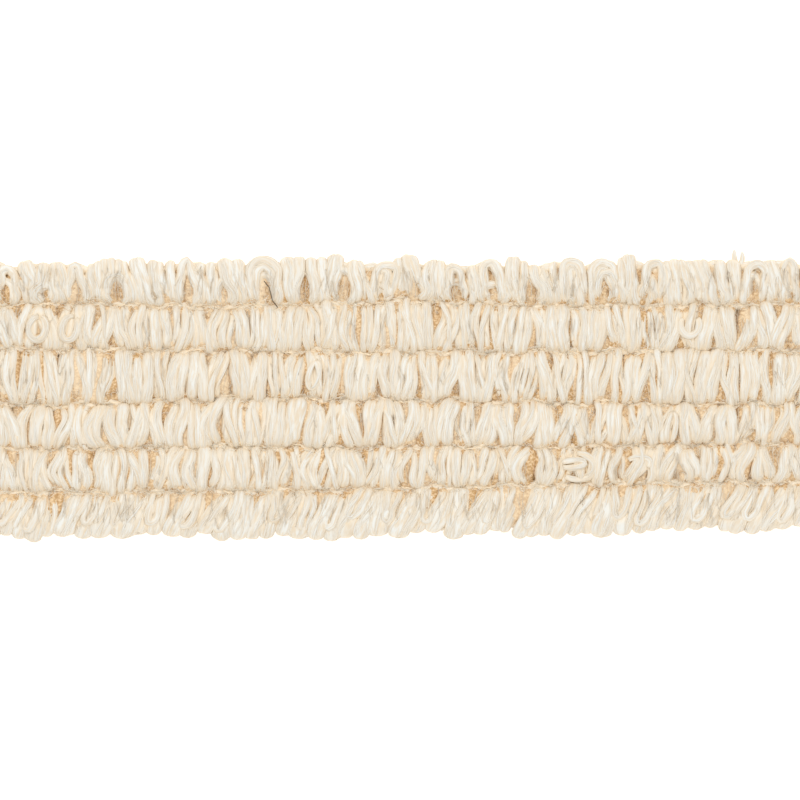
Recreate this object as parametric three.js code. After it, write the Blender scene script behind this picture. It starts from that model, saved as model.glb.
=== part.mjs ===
// Jute tape trim: a cut length of a flat decorative tape that lies face up.
// A thin tan ground tape carries six lengthwise rows of soft ivory jute loops. The loops are
// gathered into bundles, and a tan binding thread holds them down in each groove between rows.
// Millimetres. X runs along the tape, Y across it, Z up, and the tape lies on z = 0.

import * as THREE from 'three';

// Driving dimensions
const LENGTH = 250;
const GROUND_WIDTH = 68;
const GROUND_THICKNESS = 1.5;
const GROUND_STEPS = 25;
const SELVEDGE_WAVE = 0.3;
const CLEARANCE = 0.3;
const GROOVE_WIDTH = 1.8;
const THREAD_DIAMETER = 0.9;
const THREAD_SIDES = 6;
const THREAD_STEPS = 36;
const THREAD_RIPPLE = 0.15;
const LOOP_BASE = GROUND_THICKNESS + CLEARANCE;

// Each row is laid zigzag: its yarn is held at its top side and at its bottom side in turn, and
// a bundle runs from one held place to the next. Pitch is the length of one whole zigzag, and
// a gap reaches from its own side of the row to this place across it, on the scale from -1 to 1.
const PITCH = 10.58;
const BACKS_PER_BUNDLE = 2;
const GAP_START = -0.3;

// The height of the seam between two bundles, as a share of the row's own, and how much two
// bundles of one row differ: in height, as such a share, and in where they are held.
const SEAM_HEIGHT = 0.86;
const HEIGHT_SPREAD = 0.1;
const PLACE_SPREAD = 0.7;

// Where the long sides of the rows run, from the top edge of the tape to its bottom edge: the
// distance from the middle line at five places along the tape, from left to right.
const PLACE_SPACING = 45;
const LINES = [
  { name: 'top_edge', y: [38.2, 38.5, 38.2, 38.2, 38.5] },
  { name: 'binding_thread_1', y: [26.2, 25.3, 27.0, 25.6, 25.9] },
  { name: 'binding_thread_2', y: [13.5, 12.9, 12.7, 12.7, 13.2] },
  { name: 'binding_thread_3', y: [-2.3, -0.3, -0.9, -1.7, -2.0] },
  { name: 'binding_thread_4', y: [-14.4, -14.1, -14.1, -14.1, -13.0] },
  { name: 'binding_thread_5', y: [-26.8, -26.5, -25.6, -24.5, -23.9] },
  { name: 'bottom_edge', y: [-38.4, -38.6, -38.4, -38.0, -37.3] },
];

// One line for each row of loops. Crest is the height of its back over the ground tape. Held is
// the X of a place where the yarn is held at that side of the row. Halfway between two of these
// a gap opens at that side: dip is the share of the height lost there, and draw how far the
// row's side draws in. Lean is how far the yarn slants along X from the bottom side to the top.
const ROWS = [
  {
    crest: 5.4,
    lean: 0,
    top: { held: 5.1, dip: 0.1, draw: 1.2 },
    bottom: { held: -0.2, dip: 0.5, draw: 0.9 },
  },
  {
    crest: 5.6,
    lean: 0,
    top: { held: 4.0, dip: 0.3, draw: 0.7 },
    bottom: { held: -1.3, dip: 0.3, draw: 0.7 },
  },
  {
    crest: 5.8,
    lean: 0,
    top: { held: 4.0, dip: 0.2, draw: 0.6 },
    bottom: { held: -1.3, dip: 0.45, draw: 1.3 },
  },
  {
    crest: 5.7,
    lean: 0,
    top: { held: 3.0, dip: 0.4, draw: 1.1 },
    bottom: { held: -2.3, dip: 0.4, draw: 1.1 },
  },
  {
    crest: 5.4,
    lean: 0,
    top: { held: 3.1, dip: 0.4, draw: 1.0 },
    bottom: { held: -2.2, dip: 0.3, draw: 0.8 },
  },
  {
    crest: 5.3,
    lean: 5.5,
    top: { held: 4.0, dip: 0.45, draw: 0.9 },
    bottom: { held: -1.3, dip: 0.1, draw: 1.2 },
  },
];

// Cross-sections of a row. Across runs from -1 at the row's bottom side to 1 at its top side,
// and up from 0 at the ground tape to 1 at the crest.
const INNER_SECTION = [
  { across: -0.98, up: 0 },
  { across: 0.98, up: 0 },
  { across: 1.06, up: 0.5 },
  { across: 0.48, up: 1 },
  { across: -0.48, up: 1 },
  { across: -1.06, up: 0.5 },
];

// An edge row also droops over the side of the ground tape, where its loops turn round.
const EDGE_SECTION = [
  { across: -0.98, up: 0 },
  { across: 0.72, up: 0 },
  { across: 0.88, up: -0.22 },
  { across: 1, up: 0.12 },
  { across: 0.92, up: 0.66 },
  { across: 0.45, up: 1 },
  { across: -0.45, up: 0.98 },
  { across: -1.06, up: 0.5 },
];

const IVORY_LOOPS = { color: 0xe9dcc6, roughness: 0.9, metalness: 0 };
const TAN_GROUND = { color: 0xc9a878, roughness: 0.95, metalness: 0 };
const TAN_THREAD = { color: 0xd9bf97, roughness: 0.95, metalness: 0 };

const { clamp, lerp, seededRandom, smoothstep, smootherstep } = THREE.MathUtils;

// The Y of one of the LINES at a distance x from the middle of the tape.
function lineY(line, x) {
  const spans = line.y.length - 1;
  const place = clamp(x / PLACE_SPACING + spans / 2, 0, spans);
  const span = Math.min(Math.floor(place), spans - 1);
  return lerp(line.y[span], line.y[span + 1], smootherstep(place - span, 0, 1));
}

// A number from -1 to 1 that is always the same for the same bundle and trait.
function uneven(rowIndex, bundle, trait) {
  const seed = (rowIndex + 1) * 1000 + bundle * 10 + trait;
  return 2 * seededRandom(seed) - 1;
}

// The seams between a row's bundles, from one end of the tape to the other. At each of them a
// gap of 1 opens at one side of the row, while the yarn is held at the other.
function seams(row, rowIndex) {
  const repeats = Math.ceil(LENGTH / PITCH / 2);
  const end = LENGTH / 2;
  const places = [{ x: -end, topGap: 0, bottomGap: 0 }];
  for (let repeat = -repeats; repeat <= repeats; repeat += 1) {
    places.push({ x: row.bottom.held + repeat * PITCH, topGap: 1, bottomGap: 0 });
    places.push({ x: row.top.held + repeat * PITCH, topGap: 0, bottomGap: 1 });
  }
  places.push({ x: end, topGap: 0, bottomGap: 0 });
  const inside = places.filter(({ x }) => Math.abs(x) === end || Math.abs(x) < end - PITCH / 8);
  return inside.map((place, i) => ({
    ...place,
    x: place.x + (Math.abs(place.x) === end ? 0 : PLACE_SPREAD * uneven(rowIndex, i, 1)),
    tall: SEAM_HEIGHT,
  }));
}

// The cuts across a row: its seams, with the raised backs of each bundle between them.
function crossCuts(row, rowIndex) {
  const places = seams(row, rowIndex);
  const cuts = [places[0]];
  for (let i = 1; i < places.length; i += 1) {
    const tall = 1 + HEIGHT_SPREAD * uneven(rowIndex, i, 2);
    for (let back = 1; back <= BACKS_PER_BUNDLE; back += 1) {
      const x = lerp(places[i - 1].x, places[i].x, back / (BACKS_PER_BUNDLE + 1));
      cuts.push({ x, topGap: 0, bottomGap: 0, tall });
    }
    cuts.push(places[i]);
  }
  return cuts;
}

// A mesh whose name is its sub-part's name.
function piece(name, geometry, finish) {
  const mesh = new THREE.Mesh(geometry, new THREE.MeshStandardMaterial(finish));
  mesh.name = name;
  return mesh;
}

// A bar of the given outline along X, cut square at both ends of the tape. Each of its points
// is then moved by place(point), where point.x is the share of the length from 0 to 1.
function bar(outline, steps, place) {
  const geometry = new THREE.ExtrudeGeometry(outline, { depth: 1, steps, bevelEnabled: false });
  const position = geometry.getAttribute('position');
  const point = new THREE.Vector3();
  for (let i = 0; i < position.count; i += 1) {
    point.set(position.getZ(i), position.getX(i), position.getY(i));
    place(point);
    position.setXYZ(i, point.x, point.y, point.z);
  }
  geometry.computeVertexNormals();
  return geometry;
}

// The thin woven tape under the loops, flat below, with slightly uneven side edges.
function groundTape() {
  const outline = new THREE.Shape([
    new THREE.Vector2(-1, 0),
    new THREE.Vector2(1, 0),
    new THREE.Vector2(1, GROUND_THICKNESS),
    new THREE.Vector2(-1, GROUND_THICKNESS),
  ]);
  const geometry = bar(outline, GROUND_STEPS, (point) => {
    const step = Math.round(point.x * GROUND_STEPS);
    const side = Math.sign(point.y);
    const drawIn = SELVEDGE_WAVE * (0.5 + 0.5 * uneven(side, step, 0));
    point.x = (point.x - 0.5) * LENGTH;
    point.y = side * (GROUND_WIDTH / 2 - drawIn);
  });
  return piece('ground_tape', geometry, TAN_GROUND);
}

// One row of loops: a rib with a raised back on each bundle and a gap at the top side and at the
// bottom side in turn.
function loopRow(row, rowIndex) {
  const topLine = LINES[rowIndex];
  const bottomLine = LINES[rowIndex + 1];
  const isTop = rowIndex === 0;
  const isBottom = rowIndex === ROWS.length - 1;
  const groove = GROOVE_WIDTH / 2;
  const cuts = crossCuts(row, rowIndex);
  const steps = cuts.length - 1;
  const points = isTop || isBottom ? EDGE_SECTION : INNER_SECTION;
  const mirror = isBottom ? -1 : 1;
  const outline = new THREE.Shape(
    points.map(({ across, up }) => new THREE.Vector2(across * mirror, up)),
  );
  const geometry = bar(outline, steps, (point) => {
    const cut = cuts[Math.round(point.x * steps)];
    const across = point.y;
    const up = point.z;
    const topShare = cut.topGap * smoothstep(across, GAP_START, 1);
    const bottomShare = cut.bottomGap * smoothstep(-across, GAP_START, 1);

    // Slant, which fades out at the two cut ends
    const fade = clamp((LENGTH / 2 - Math.abs(cut.x)) / PITCH, 0, 1);
    point.x = cut.x + row.lean * across / 2 * fade;

    // Width, drawn in at the gaps
    const top = lineY(topLine, point.x) - (isTop ? 0 : groove);
    const bottom = lineY(bottomLine, point.x) + (isBottom ? 0 : groove);
    point.y = lerp(bottom, top, (across + 1) / 2)
      - topShare * row.top.draw + bottomShare * row.bottom.draw;

    // Height
    const dip = topShare * row.top.dip + bottomShare * row.bottom.dip;
    const tall = row.crest * cut.tall * (1 - dip);
    point.z = LOOP_BASE + up * (up > 0 ? tall : row.crest);
  });
  return piece(`loop_row_${rowIndex + 1}`, geometry, IVORY_LOOPS);
}

// The binding thread that lies along one groove and ripples over the yarns that it holds down.
function bindingThread(line) {
  const middle = LOOP_BASE + THREAD_DIAMETER / 2 + THREAD_RIPPLE;
  const path = [];
  for (let step = 0; step <= THREAD_STEPS; step += 1) {
    const x = (step / THREAD_STEPS - 0.5) * (LENGTH - 2 * CLEARANCE);
    const ripple = step % 2 === 0 ? THREAD_RIPPLE : -THREAD_RIPPLE;
    path.push(new THREE.Vector3(x, lineY(line, x), middle + ripple));
  }
  const corners = [];
  for (let side = 0; side < THREAD_SIDES; side += 1) {
    const turn = 2 * Math.PI * side / THREAD_SIDES;
    corners.push(new THREE.Vector2(Math.cos(turn), Math.sin(turn)));
  }
  corners.forEach((corner) => corner.multiplyScalar(THREAD_DIAMETER / 2));
  const geometry = new THREE.ExtrudeGeometry(new THREE.Shape(corners), {
    steps: THREAD_STEPS,
    extrudePath: new THREE.CatmullRomCurve3(path),
  });
  return piece(line.name, geometry, TAN_THREAD);
}

const group = new THREE.Group();
group.add(groundTape());
ROWS.forEach((row, rowIndex) => group.add(loopRow(row, rowIndex)));
LINES.slice(1, -1).forEach((line) => group.add(bindingThread(line)));

export default group;
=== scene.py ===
import math
from collections import namedtuple

import bpy
import numpy as np
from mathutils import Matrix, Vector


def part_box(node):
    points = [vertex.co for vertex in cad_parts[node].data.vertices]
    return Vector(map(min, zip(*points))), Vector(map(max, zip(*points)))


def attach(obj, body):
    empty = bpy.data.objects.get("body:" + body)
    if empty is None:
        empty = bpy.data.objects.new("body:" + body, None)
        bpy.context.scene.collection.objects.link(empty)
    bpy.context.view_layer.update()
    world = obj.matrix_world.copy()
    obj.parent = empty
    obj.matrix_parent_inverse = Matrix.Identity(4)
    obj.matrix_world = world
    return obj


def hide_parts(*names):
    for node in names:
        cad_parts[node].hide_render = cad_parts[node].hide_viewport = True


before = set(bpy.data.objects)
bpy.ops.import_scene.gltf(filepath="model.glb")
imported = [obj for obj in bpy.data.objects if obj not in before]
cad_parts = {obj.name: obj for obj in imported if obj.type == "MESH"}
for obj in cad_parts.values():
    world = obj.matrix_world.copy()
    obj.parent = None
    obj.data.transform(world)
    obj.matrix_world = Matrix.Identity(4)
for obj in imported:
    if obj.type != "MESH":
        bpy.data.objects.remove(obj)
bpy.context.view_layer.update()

# Ground tape
# A thin plain-woven tape of tan jute carries all the rest. Its warp runs along the tape and its
# weft across it, its two ends are cut square, and its back lies flat on the table.
MM = 0.001
GROUND_NODE = "ground_tape"
WEAVE_PITCH = 1.6
WEAVE_RELIEF = 0.12
WEAVE_FIBRES_PER_METRE = (400, 2500, 1500)
WEAVE_PATCHES_PER_METRE = 900
JUTE_GLOSS = 0.25
GROUND_TAN = (0.95, 0.76, 0.50, 1)
GROUND_TAN_DARK = (0.66, 0.43, 0.22, 1)


def start_material(name, roughness):
    """A new material for dull jute, and its shader."""
    material = bpy.data.materials.new(name)
    material.use_nodes = True
    shader = material.node_tree.nodes["Principled BSDF"]
    shader.inputs["Roughness"].default_value = roughness
    shader.inputs["Specular IOR Level"].default_value = JUTE_GLOSS
    return material, shader


def add_node(material, kind, **inputs):
    """A new node whose inputs are linked to other nodes or set to plain values."""
    node = material.node_tree.nodes.new(kind)
    for name, value in inputs.items():
        socket = node.inputs[name.replace("_", " ")]
        if isinstance(value, bpy.types.NodeSocket):
            material.node_tree.links.new(value, socket)
        else:
            socket.default_value = value
    return node


def mix_colours(material, share, first, second):
    mix = material.node_tree.nodes.new("ShaderNodeMix")
    mix.data_type = "RGBA"
    sockets = {s.identifier: s for s in mix.inputs}
    for name, value in (
        ("Factor_Float", share),
        ("A_Color", first),
        ("B_Color", second),
    ):
        if isinstance(value, bpy.types.NodeSocket):
            material.node_tree.links.new(value, sockets[name])
        else:
            sockets[name].default_value = value
    return next(s for s in mix.outputs if s.identifier == "Result_Color")


def add_bump(material, shader, height, strength, distance):
    bump = add_node(material, "ShaderNodeBump", Strength=strength, Distance=distance, Height=height)
    material.node_tree.links.new(bump.outputs["Normal"], shader.inputs["Normal"])


def tan_weave():
    material, shader = start_material("tan_jute_weave", roughness=0.9)
    place = add_node(material, "ShaderNodeTexCoord").outputs["Object"]
    stretched = add_node(material, "ShaderNodeVectorMath", Vector=place)
    stretched.operation = "MULTIPLY"
    stretched.inputs[1].default_value = WEAVE_FIBRES_PER_METRE
    fibres = add_node(
        material, "ShaderNodeTexNoise", Vector=stretched.outputs["Vector"], Scale=1.0, Detail=3.0
    ).outputs["Fac"]
    patches = add_node(
        material, "ShaderNodeTexNoise", Vector=place, Scale=WEAVE_PATCHES_PER_METRE, Detail=2.0
    ).outputs["Fac"]
    colour = mix_colours(material, fibres, GROUND_TAN_DARK, GROUND_TAN)
    colour = mix_colours(material, patches, colour, GROUND_TAN)
    material.node_tree.links.new(colour, shader.inputs["Base Color"])
    add_bump(material, shader, fibres, strength=0.6, distance=0.15 * MM)
    return material


def finish_piece(name, mesh, material, slot, *nodes):
    piece = bpy.data.objects.new(name, mesh)
    bpy.context.scene.collection.objects.link(piece)
    mesh.materials.append(material)
    mesh.shade_smooth()
    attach(piece, "root")
    if nodes:
        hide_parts(*nodes)
    return piece


def woven_tape():
    """The ground node's slab, with the ups and downs of a plain weave on its front and back."""
    low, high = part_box(GROUND_NODE)
    across_count = round((high[1] - low[1]) / (WEAVE_PITCH * MM)) + 1
    along_count = round((high[0] - low[0]) / (WEAVE_PITCH * MM)) + 1
    along, across = np.meshgrid(
        np.linspace(low[0], high[0], along_count),
        np.linspace(low[1], high[1], across_count),
        indexing="ij",
    )
    row, column = np.indices(along.shape)
    over = np.where((row + column) % 2 == 0, 0.0, WEAVE_RELIEF * MM)
    front = np.stack([along, across, high[2] - over], axis=-1).reshape(-1, 3)
    back = np.stack([along, across, low[2] + over], axis=-1).reshape(-1, 3)
    index = row * across_count + column
    a, b = index[:-1, :-1].ravel(), index[1:, :-1].ravel()
    c, d = index[1:, 1:].ravel(), index[:-1, 1:].ravel()
    rim = np.concatenate([index[:, 0], index[-1, 1:], index[-2::-1, -1], index[0, -2:0:-1]])
    after = np.roll(rim, -1)
    under = len(front)
    faces = np.concatenate([
        np.stack([a, b, c, d], axis=1),
        np.stack([d, c, b, a], axis=1) + under,
        np.stack([rim + under, after + under, after, rim], axis=1),
    ])
    mesh = bpy.data.meshes.new(GROUND_NODE)
    mesh.from_pydata(np.concatenate([front, back]).tolist(), [], faces.tolist())
    return mesh


ground = finish_piece("woven_ground", woven_tape(), tan_weave(), "ground", GROUND_NODE)

# Loop yarn
# The loops are laid from one soft, thick yarn of bleached jute, spun with hardly any twist. Its
# silky fibres form a few shallow strands that wind slowly round it, and it lies a little flat.
IVORY = (0.785, 0.78, 0.73, 1)
IVORY_SHADE = (0.73, 0.62, 0.47, 1)
# Painted shade on the yarn's flanks, which face away from the light from above
FLANK_SHADE_TAN = (0.84, 0.72, 0.55, 1)
# The next three colours are painted shade: tan in the creases, and dark tan with paler speckles
# deep down in the gaps and under the rows.
CREASE_SHADE_TAN = (0.91, 0.76, 0.55, 1)
DEEP_SHADE_TAN = (0.52, 0.31, 0.13, 1)
DEEP_SHADE_SPECKLE = (0.83, 0.62, 0.38, 1)
SPECKLES_PER_METRE = 1500

# From here on lengths are in millimetres and start at the middle of the tape. The yarn ends a
# little before the ground tape's two cut ends.
ground_low, ground_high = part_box(GROUND_NODE)
LENGTH = round((ground_high[0] - ground_low[0]) / MM, 3)
GROUND_TOP = round(ground_high[2] / MM, 3)
CUT_END = LENGTH / 2 - 0.3

# The machine lays each row zigzag, and this is the length of one whole zigzag. The sides of a row
# waver with it, and in a shorter wave too.
PITCH = 10.58
PITCH_WAVER = 0.4
SHORT_WAVER = 0.3
SHORT_WAVER_LENGTH = 3.3

# The long sides of the rows: Y at five places along the tape, left to right.
PLACES = (-90, -45, 0, 45, 90)
LINES = {
    "top_edge": (38.2, 38.5, 38.2, 38.2, 38.5),
    "groove_1": (26.2, 25.3, 27.0, 25.6, 25.9),
    "groove_2": (13.5, 12.9, 12.7, 12.7, 13.2),
    "groove_3": (-2.3, -0.3, -0.9, -1.7, -2.0),
    "groove_4": (-14.4, -14.1, -14.1, -14.1, -13.0),
    "groove_5": (-26.8, -26.5, -25.6, -24.5, -23.9),
    "bottom_edge": (-38.4, -38.6, -38.4, -38.0, -37.3),
}


def line_y(name, x):
    """Y of a long side of a row at x. The line wavers a little where the bundles bulge out, and
    each line at other places than the next."""
    number = list(LINES).index(name)
    waver = PITCH_WAVER * np.sin(2 * np.pi * x / PITCH + 1.7 * number)
    waver = waver + SHORT_WAVER * np.sin(x / SHORT_WAVER_LENGTH + number)
    return np.interp(x, PLACES, LINES[name]) + waver


def unit(vectors):
    return vectors / np.linalg.norm(vectors, axis=-1, keepdims=True)


def travelled(path):
    """How far along the line each of its points lies."""
    steps = np.linalg.norm(np.diff(path, axis=0), axis=1)
    return np.concatenate([[0], np.cumsum(steps)])


def level_frame(path):
    """The level direction across a line and the one up from it, at each of its points."""
    forward = unit(np.gradient(path, axis=0))
    across = unit(np.cross([0, 0, 1.0], forward))
    return across, np.cross(forward, across)


# How closely points crowd at the end of a line, and how wide they still lie at its middle
END_CROWDING = 1.6
MIDDLE_SPACING = 0.6


def even_steps(steps, crowded, path, *others):
    """The line with its points an equal distance apart, or closer where they are crowded, at
    its end or its middle, and other values taken there."""
    along = travelled(path)
    share = np.linspace(0, 1, steps)
    if crowded == "end":
        share = 1 - (1 - share) ** END_CROWDING
    if crowded == "middle":
        off = share - 0.5
        share = 0.5 + MIDDLE_SPACING * off + 4 * (1 - MIDDLE_SPACING) * off ** 3
    marks = along[-1] * share
    return [
        np.stack([np.interp(marks, along, column) for column in values.T], axis=1)
        for values in (path, *others)
    ]


# Painted shade: yarn is painted tan where it lies deeper between its neighbours than
# SHALLOW_CREASE, as the shade in a crease, and is as tan as that painted shade gets at DEEP_CREASE.
# The depths are read off a grid of small square cells.
SHALLOW_CREASE = 0.1
DEEP_CREASE = 1.5
DEEPEST_CREASE_SHADE = 0.6
CREASE_CURVE = 0.7
CREASE_CELL = 0.5
CELLS_ROUND_THE_TAPE = 3


def painted_crease_shade(points):
    """How much painted crease shade, in tan, each point gets for lying deep between its neighbours:
    0 on the open tops.
    """
    corner = points[:, :2].min(axis=0)
    place = ((points[:, :2] - corner) / CREASE_CELL).astype(int) + CELLS_ROUND_THE_TAPE
    tops = np.full(place.max(axis=0) + CELLS_ROUND_THE_TAPE + 1, GROUND_TOP)
    np.maximum.at(tops, (place[:, 0], place[:, 1]), points[:, 2])
    shifts = [(i, j) for i in (-1, 0, 1) for j in (-1, 0, 1)]
    tops = np.max([np.roll(tops, shift, axis=(0, 1)) for shift in shifts], axis=0)
    for _ in range(2):
        tops = np.mean([np.roll(tops, shift, axis=(0, 1)) for shift in shifts], axis=0)
    depth = tops[place[:, 0], place[:, 1]] - points[:, 2]
    share = np.clip((depth - SHALLOW_CREASE) / (DEEP_CREASE - SHALLOW_CREASE), 0, 1)
    return DEEPEST_CREASE_SHADE * share ** CREASE_CURVE


# The painted crease shade and the painted tan shade grow faint towards the tape's two long edges,
# down to FAINTEST.
FAINT_WITHIN = 2.5
FAINTEST = 0.1


def off_the_edges(points):
    """1 on the tape and less towards its two long edges, where less painted shade is laid on the
    yarn.
    """
    x, y = points[:, 0], points[:, 1]
    inside = np.minimum(line_y("top_edge", x) - y, y - line_y("bottom_edge", x))
    return np.clip(inside / FAINT_WITHIN, FAINTEST, 1)


# How many sides a tube has, its line of points, the directions across and up at each of them, its
# half width and half height there, and how tan it is painted there as shade, from 0 to 1
Tube = namedtuple("Tube", "sides path across up half_width half_height tan")

# The swells round every tube: how high each is, how many lie round the tube, and how fast they
# wind along it
SWELLS = ((0.09, 4, 0.55), (0.06, 5, -0.4), (0.05, 2, 1.1))
GRID_INSET = 0.05


def lay_tubes(name, tubes):
    """One mesh of closed tubes, with two maps: the fibres run along one of them, and the other
    is a grid with a cell for each tube."""
    spread = np.random.default_rng(len(tubes)).random((len(tubes), 4))
    columns = math.ceil(math.sqrt(len(tubes)))
    points, faces, fibre_map, grid_map, numbers, tans = [], [], [], [], [], []
    first = 0
    for number, tube in enumerate(tubes):
        steps = len(tube.path)
        sides = tube.sides
        side = np.arange(sides)
        turn = 2 * np.pi * (side + 0.5) / sides - np.pi / 2
        run = travelled(tube.path)
        uneven = 1
        for way, (high, count, wind) in zip(2 * np.pi * spread[number, 1:], SWELLS):
            uneven = uneven + high * np.sin(count * turn + way + wind * run[:, None])
        wide = uneven * np.cos(turn) * tube.half_width[:, None]
        tall = uneven * np.sin(turn) * tube.half_height[:, None]
        rings = tube.path[:, None, :]
        rings = rings + wide[..., None] * tube.across[:, None, :]
        rings = rings + tall[..., None] * tube.up[:, None, :]
        points.append(rings.reshape(-1, 3))

        step = np.repeat(np.arange(steps - 1), sides)
        place = np.tile(side, steps - 1)
        after = (place + 1) % sides
        low = first + step * sides
        quads = np.stack([low + place, low + after, low + sides + after, low + sides + place], 1)
        last = first + (steps - 1) * sides
        faces += quads.tolist() + [(first + side[::-1]).tolist(), (last + side).tolist()]
        first += steps * sides

        around = np.stack([place, place + 1, place + 1, place], axis=1) / sides
        along = np.stack([step, step, step + 1, step + 1], axis=1)
        fibre_map.append(np.stack([around, run[along]], axis=-1).reshape(-1, 2))
        fibre_map.append(np.zeros((2 * sides, 2)))
        corner = np.array([number % columns, number // columns])
        within = np.stack([around, along / (steps - 1)], axis=-1).reshape(-1, 2)
        caps = np.repeat([[0.5, 0.0], [0.5, 1.0]], sides, axis=0)
        inside = GRID_INSET + (1 - 2 * GRID_INSET) * np.concatenate([within, caps])
        grid_map.append((corner + inside) / columns)
        numbers.append(np.full(steps * sides, spread[number, 0]))
        tans.append(np.repeat(tube.tan, sides))

    points = np.concatenate(points)
    mesh = bpy.data.meshes.new(name)
    mesh.from_pydata((points * MM).tolist(), [], faces)
    for map_name, values in (("fibre", fibre_map), ("OFBake", grid_map)):
        layer = mesh.uv_layers.new(name=map_name)
        layer.uv.foreach_set("vector", np.concatenate(values).astype(np.float32).ravel())
    tan = np.maximum(painted_crease_shade(points), np.concatenate(tans)) * off_the_edges(points)
    for attribute, values in (("clump", np.concatenate(numbers)), ("tan", tan)):
        layer = mesh.attributes.new(attribute, "FLOAT", "POINT")
        layer.data.foreach_set("value", values.astype(np.float32))
    return mesh


# The stitches squeeze a yarn over this length before it goes into a groove, down to this width,
# but to no less than the first share of its own width and to no more than the second.
HELD_LENGTH = 2.4
HELD_WIDTH = 1.5
HELD_SHARES = (0.5, 0.7)
HELD_CURVE = 1.4
# The yarn is painted tan near an end that goes into a groove, as the shade down in the groove.
HELD_SHADE_TAN = 0.3


def held_end(distance, width):
    """How slim a yarn of this width is near an end that goes into a groove, and how tan it is
    painted there as the groove's shade.
    """
    near = np.clip(1 - distance / HELD_LENGTH, 0, 1)
    slimmest = np.clip(HELD_WIDTH / width, *HELD_SHARES)
    return 1 - (1 - slimmest) * near ** HELD_CURVE, HELD_SHADE_TAN * near


# The square of the share of its width that a round end keeps at its very tip
ROUND_TIP = 0.02


def round_end(distance, width):
    """How slim and how tan a yarn is near an end where it turns down over an edge."""
    near = np.clip(1 - 2 * distance / width, 0, 1)
    return np.sqrt(np.clip(1 - near ** 2, ROUND_TIP, 1)), 0 * near


YARN_SIDES = 10
YARN_FLATNESS = 0.74
YARN_THICKEST = 1.9
YARN_SWELL = 0.07
YARN_SWELL_PACE = (0.4, 0.9)

# A wave starts at a random point of its turn, in radians.
WAVE_STARTS = (0, 6)


def lay_body(path, normals, width, steps, far_end, crowded, rng):
    """The tube of one yarn that follows path over a surface with these normals."""
    forward = unit(np.gradient(path, axis=0))
    across = unit(np.cross(normals, forward))
    up = np.cross(forward, across)
    line, side, top = even_steps(steps, crowded, path, across, up)
    along = travelled(line)
    slim, tan = held_end(along, width)
    far_slim, far_tan = far_end(along[-1] - along, width)
    wave = np.sin(rng.uniform(*YARN_SWELL_PACE) * along + rng.uniform(*WAVE_STARTS))
    half = width / 2 * slim * far_slim * (1 + YARN_SWELL * wave)
    flatness = min(YARN_FLATNESS, YARN_THICKEST / width)
    tan = np.maximum(tan, far_tan)
    return Tube(YARN_SIDES, line, unit(side), unit(top), half, half * flatness, tan)


# STRAND_OUT is how far out from the yarn's middle a strand lies, as a share of its half width.
# STRAND_WIND and STRAND_SWAY say in radians how it winds in each millimetre and how it sways, in a
# yarn of the common width.
STRAND_SIDES = 4
STRAND_WIDTH = 0.75
STRAND_FLATNESS = 0.8
STRAND_SPACING = 0.8
STRAND_OUT = 0.88
STRAND_STRAY = (0.2, 0.8)
STRAND_WIND = 0.09
STRAND_SWAY = 0.25
STRAND_SWAY_PACE = (0.3, 0.8)
STRAND_THINNESS = (0.7, 1.2)
COMMON_WIDTH = 2.4


def lay_yarn(path, normals, width, steps, far_end, crowded, rng):
    """A yarn and the strands that stand out on its upper face. They wind a little one way or the
    other and sway, more in a slim yarn than in a wide one."""
    body = lay_body(path, normals, width, steps, far_end, crowded, rng)
    along = travelled(body.path)
    tubes = [body]
    strands = round(width / STRAND_SPACING)
    wander = COMMON_WIDTH / width
    for number in range(strands):
        angle = math.pi * (number + rng.uniform(*STRAND_STRAY)) / strands
        wind = rng.normal(0, STRAND_WIND) * along
        sway = STRAND_SWAY * np.sin(rng.uniform(*STRAND_SWAY_PACE) * along)
        angle = angle + wander * (wind + sway)
        sideways = (body.half_width * np.cos(angle))[:, None] * body.across
        upwards = (body.half_height * np.sin(angle))[:, None] * body.up
        line = body.path + STRAND_OUT * (sideways + upwards)
        flat = (body.half_height * np.cos(angle))[:, None] * body.across
        outwards = unit(flat + (body.half_width * np.sin(angle))[:, None] * body.up)
        across = unit(np.cross(outwards, np.gradient(line, axis=0)))
        thin = STRAND_WIDTH / 2 * rng.uniform(*STRAND_THINNESS)
        thin = thin * body.half_width / body.half_width.max()
        high = thin * STRAND_FLATNESS
        tubes.append(Tube(STRAND_SIDES, line, across, outwards, thin, high, body.tan))
    return tubes


# The steepest slope that a row's back is taken to have, and the least step to divide by
STEEPEST = 2.5
LEAST_STEP = 1e-4

# How flat a row's back is in its middle, and how steeply it falls to its held sides
TOP_FLATNESS = 2.2
SIDE_STEEPNESS = 0.7


def arched_back(side):
    """How high the back of a row stands, from 1 in its middle to 0 where it is held down: side
    runs from -1 to 1 across the row."""
    return np.clip(1 - np.abs(side) ** TOP_FLATNESS, 0, 1) ** SIDE_STEEPNESS


def over_row(start, end, x, u, crest, feet, droop):
    """Points and normals of a row's back. u runs from 0 at the start line to 1 at the end line.
    droop is None where both sides of the row are held down, or how far the end side falls."""
    side = 2 * u - 1
    held = arched_back(side)
    rise = held if droop is None else np.where(side < 0, held, 1 - droop * np.abs(side) ** 3)
    y = start + (end - start) * u
    z = feet + crest * rise
    step = np.gradient(y)
    slope = np.gradient(z) / np.where(np.abs(step) < LEAST_STEP, LEAST_STEP, step)
    slope = np.clip(slope, -STEEPEST, STEEPEST)
    points = np.stack([x, y, z], axis=1)
    normals = unit(np.stack([np.zeros_like(x), -slope, np.ones_like(x)], axis=1))
    return points, normals


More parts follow.
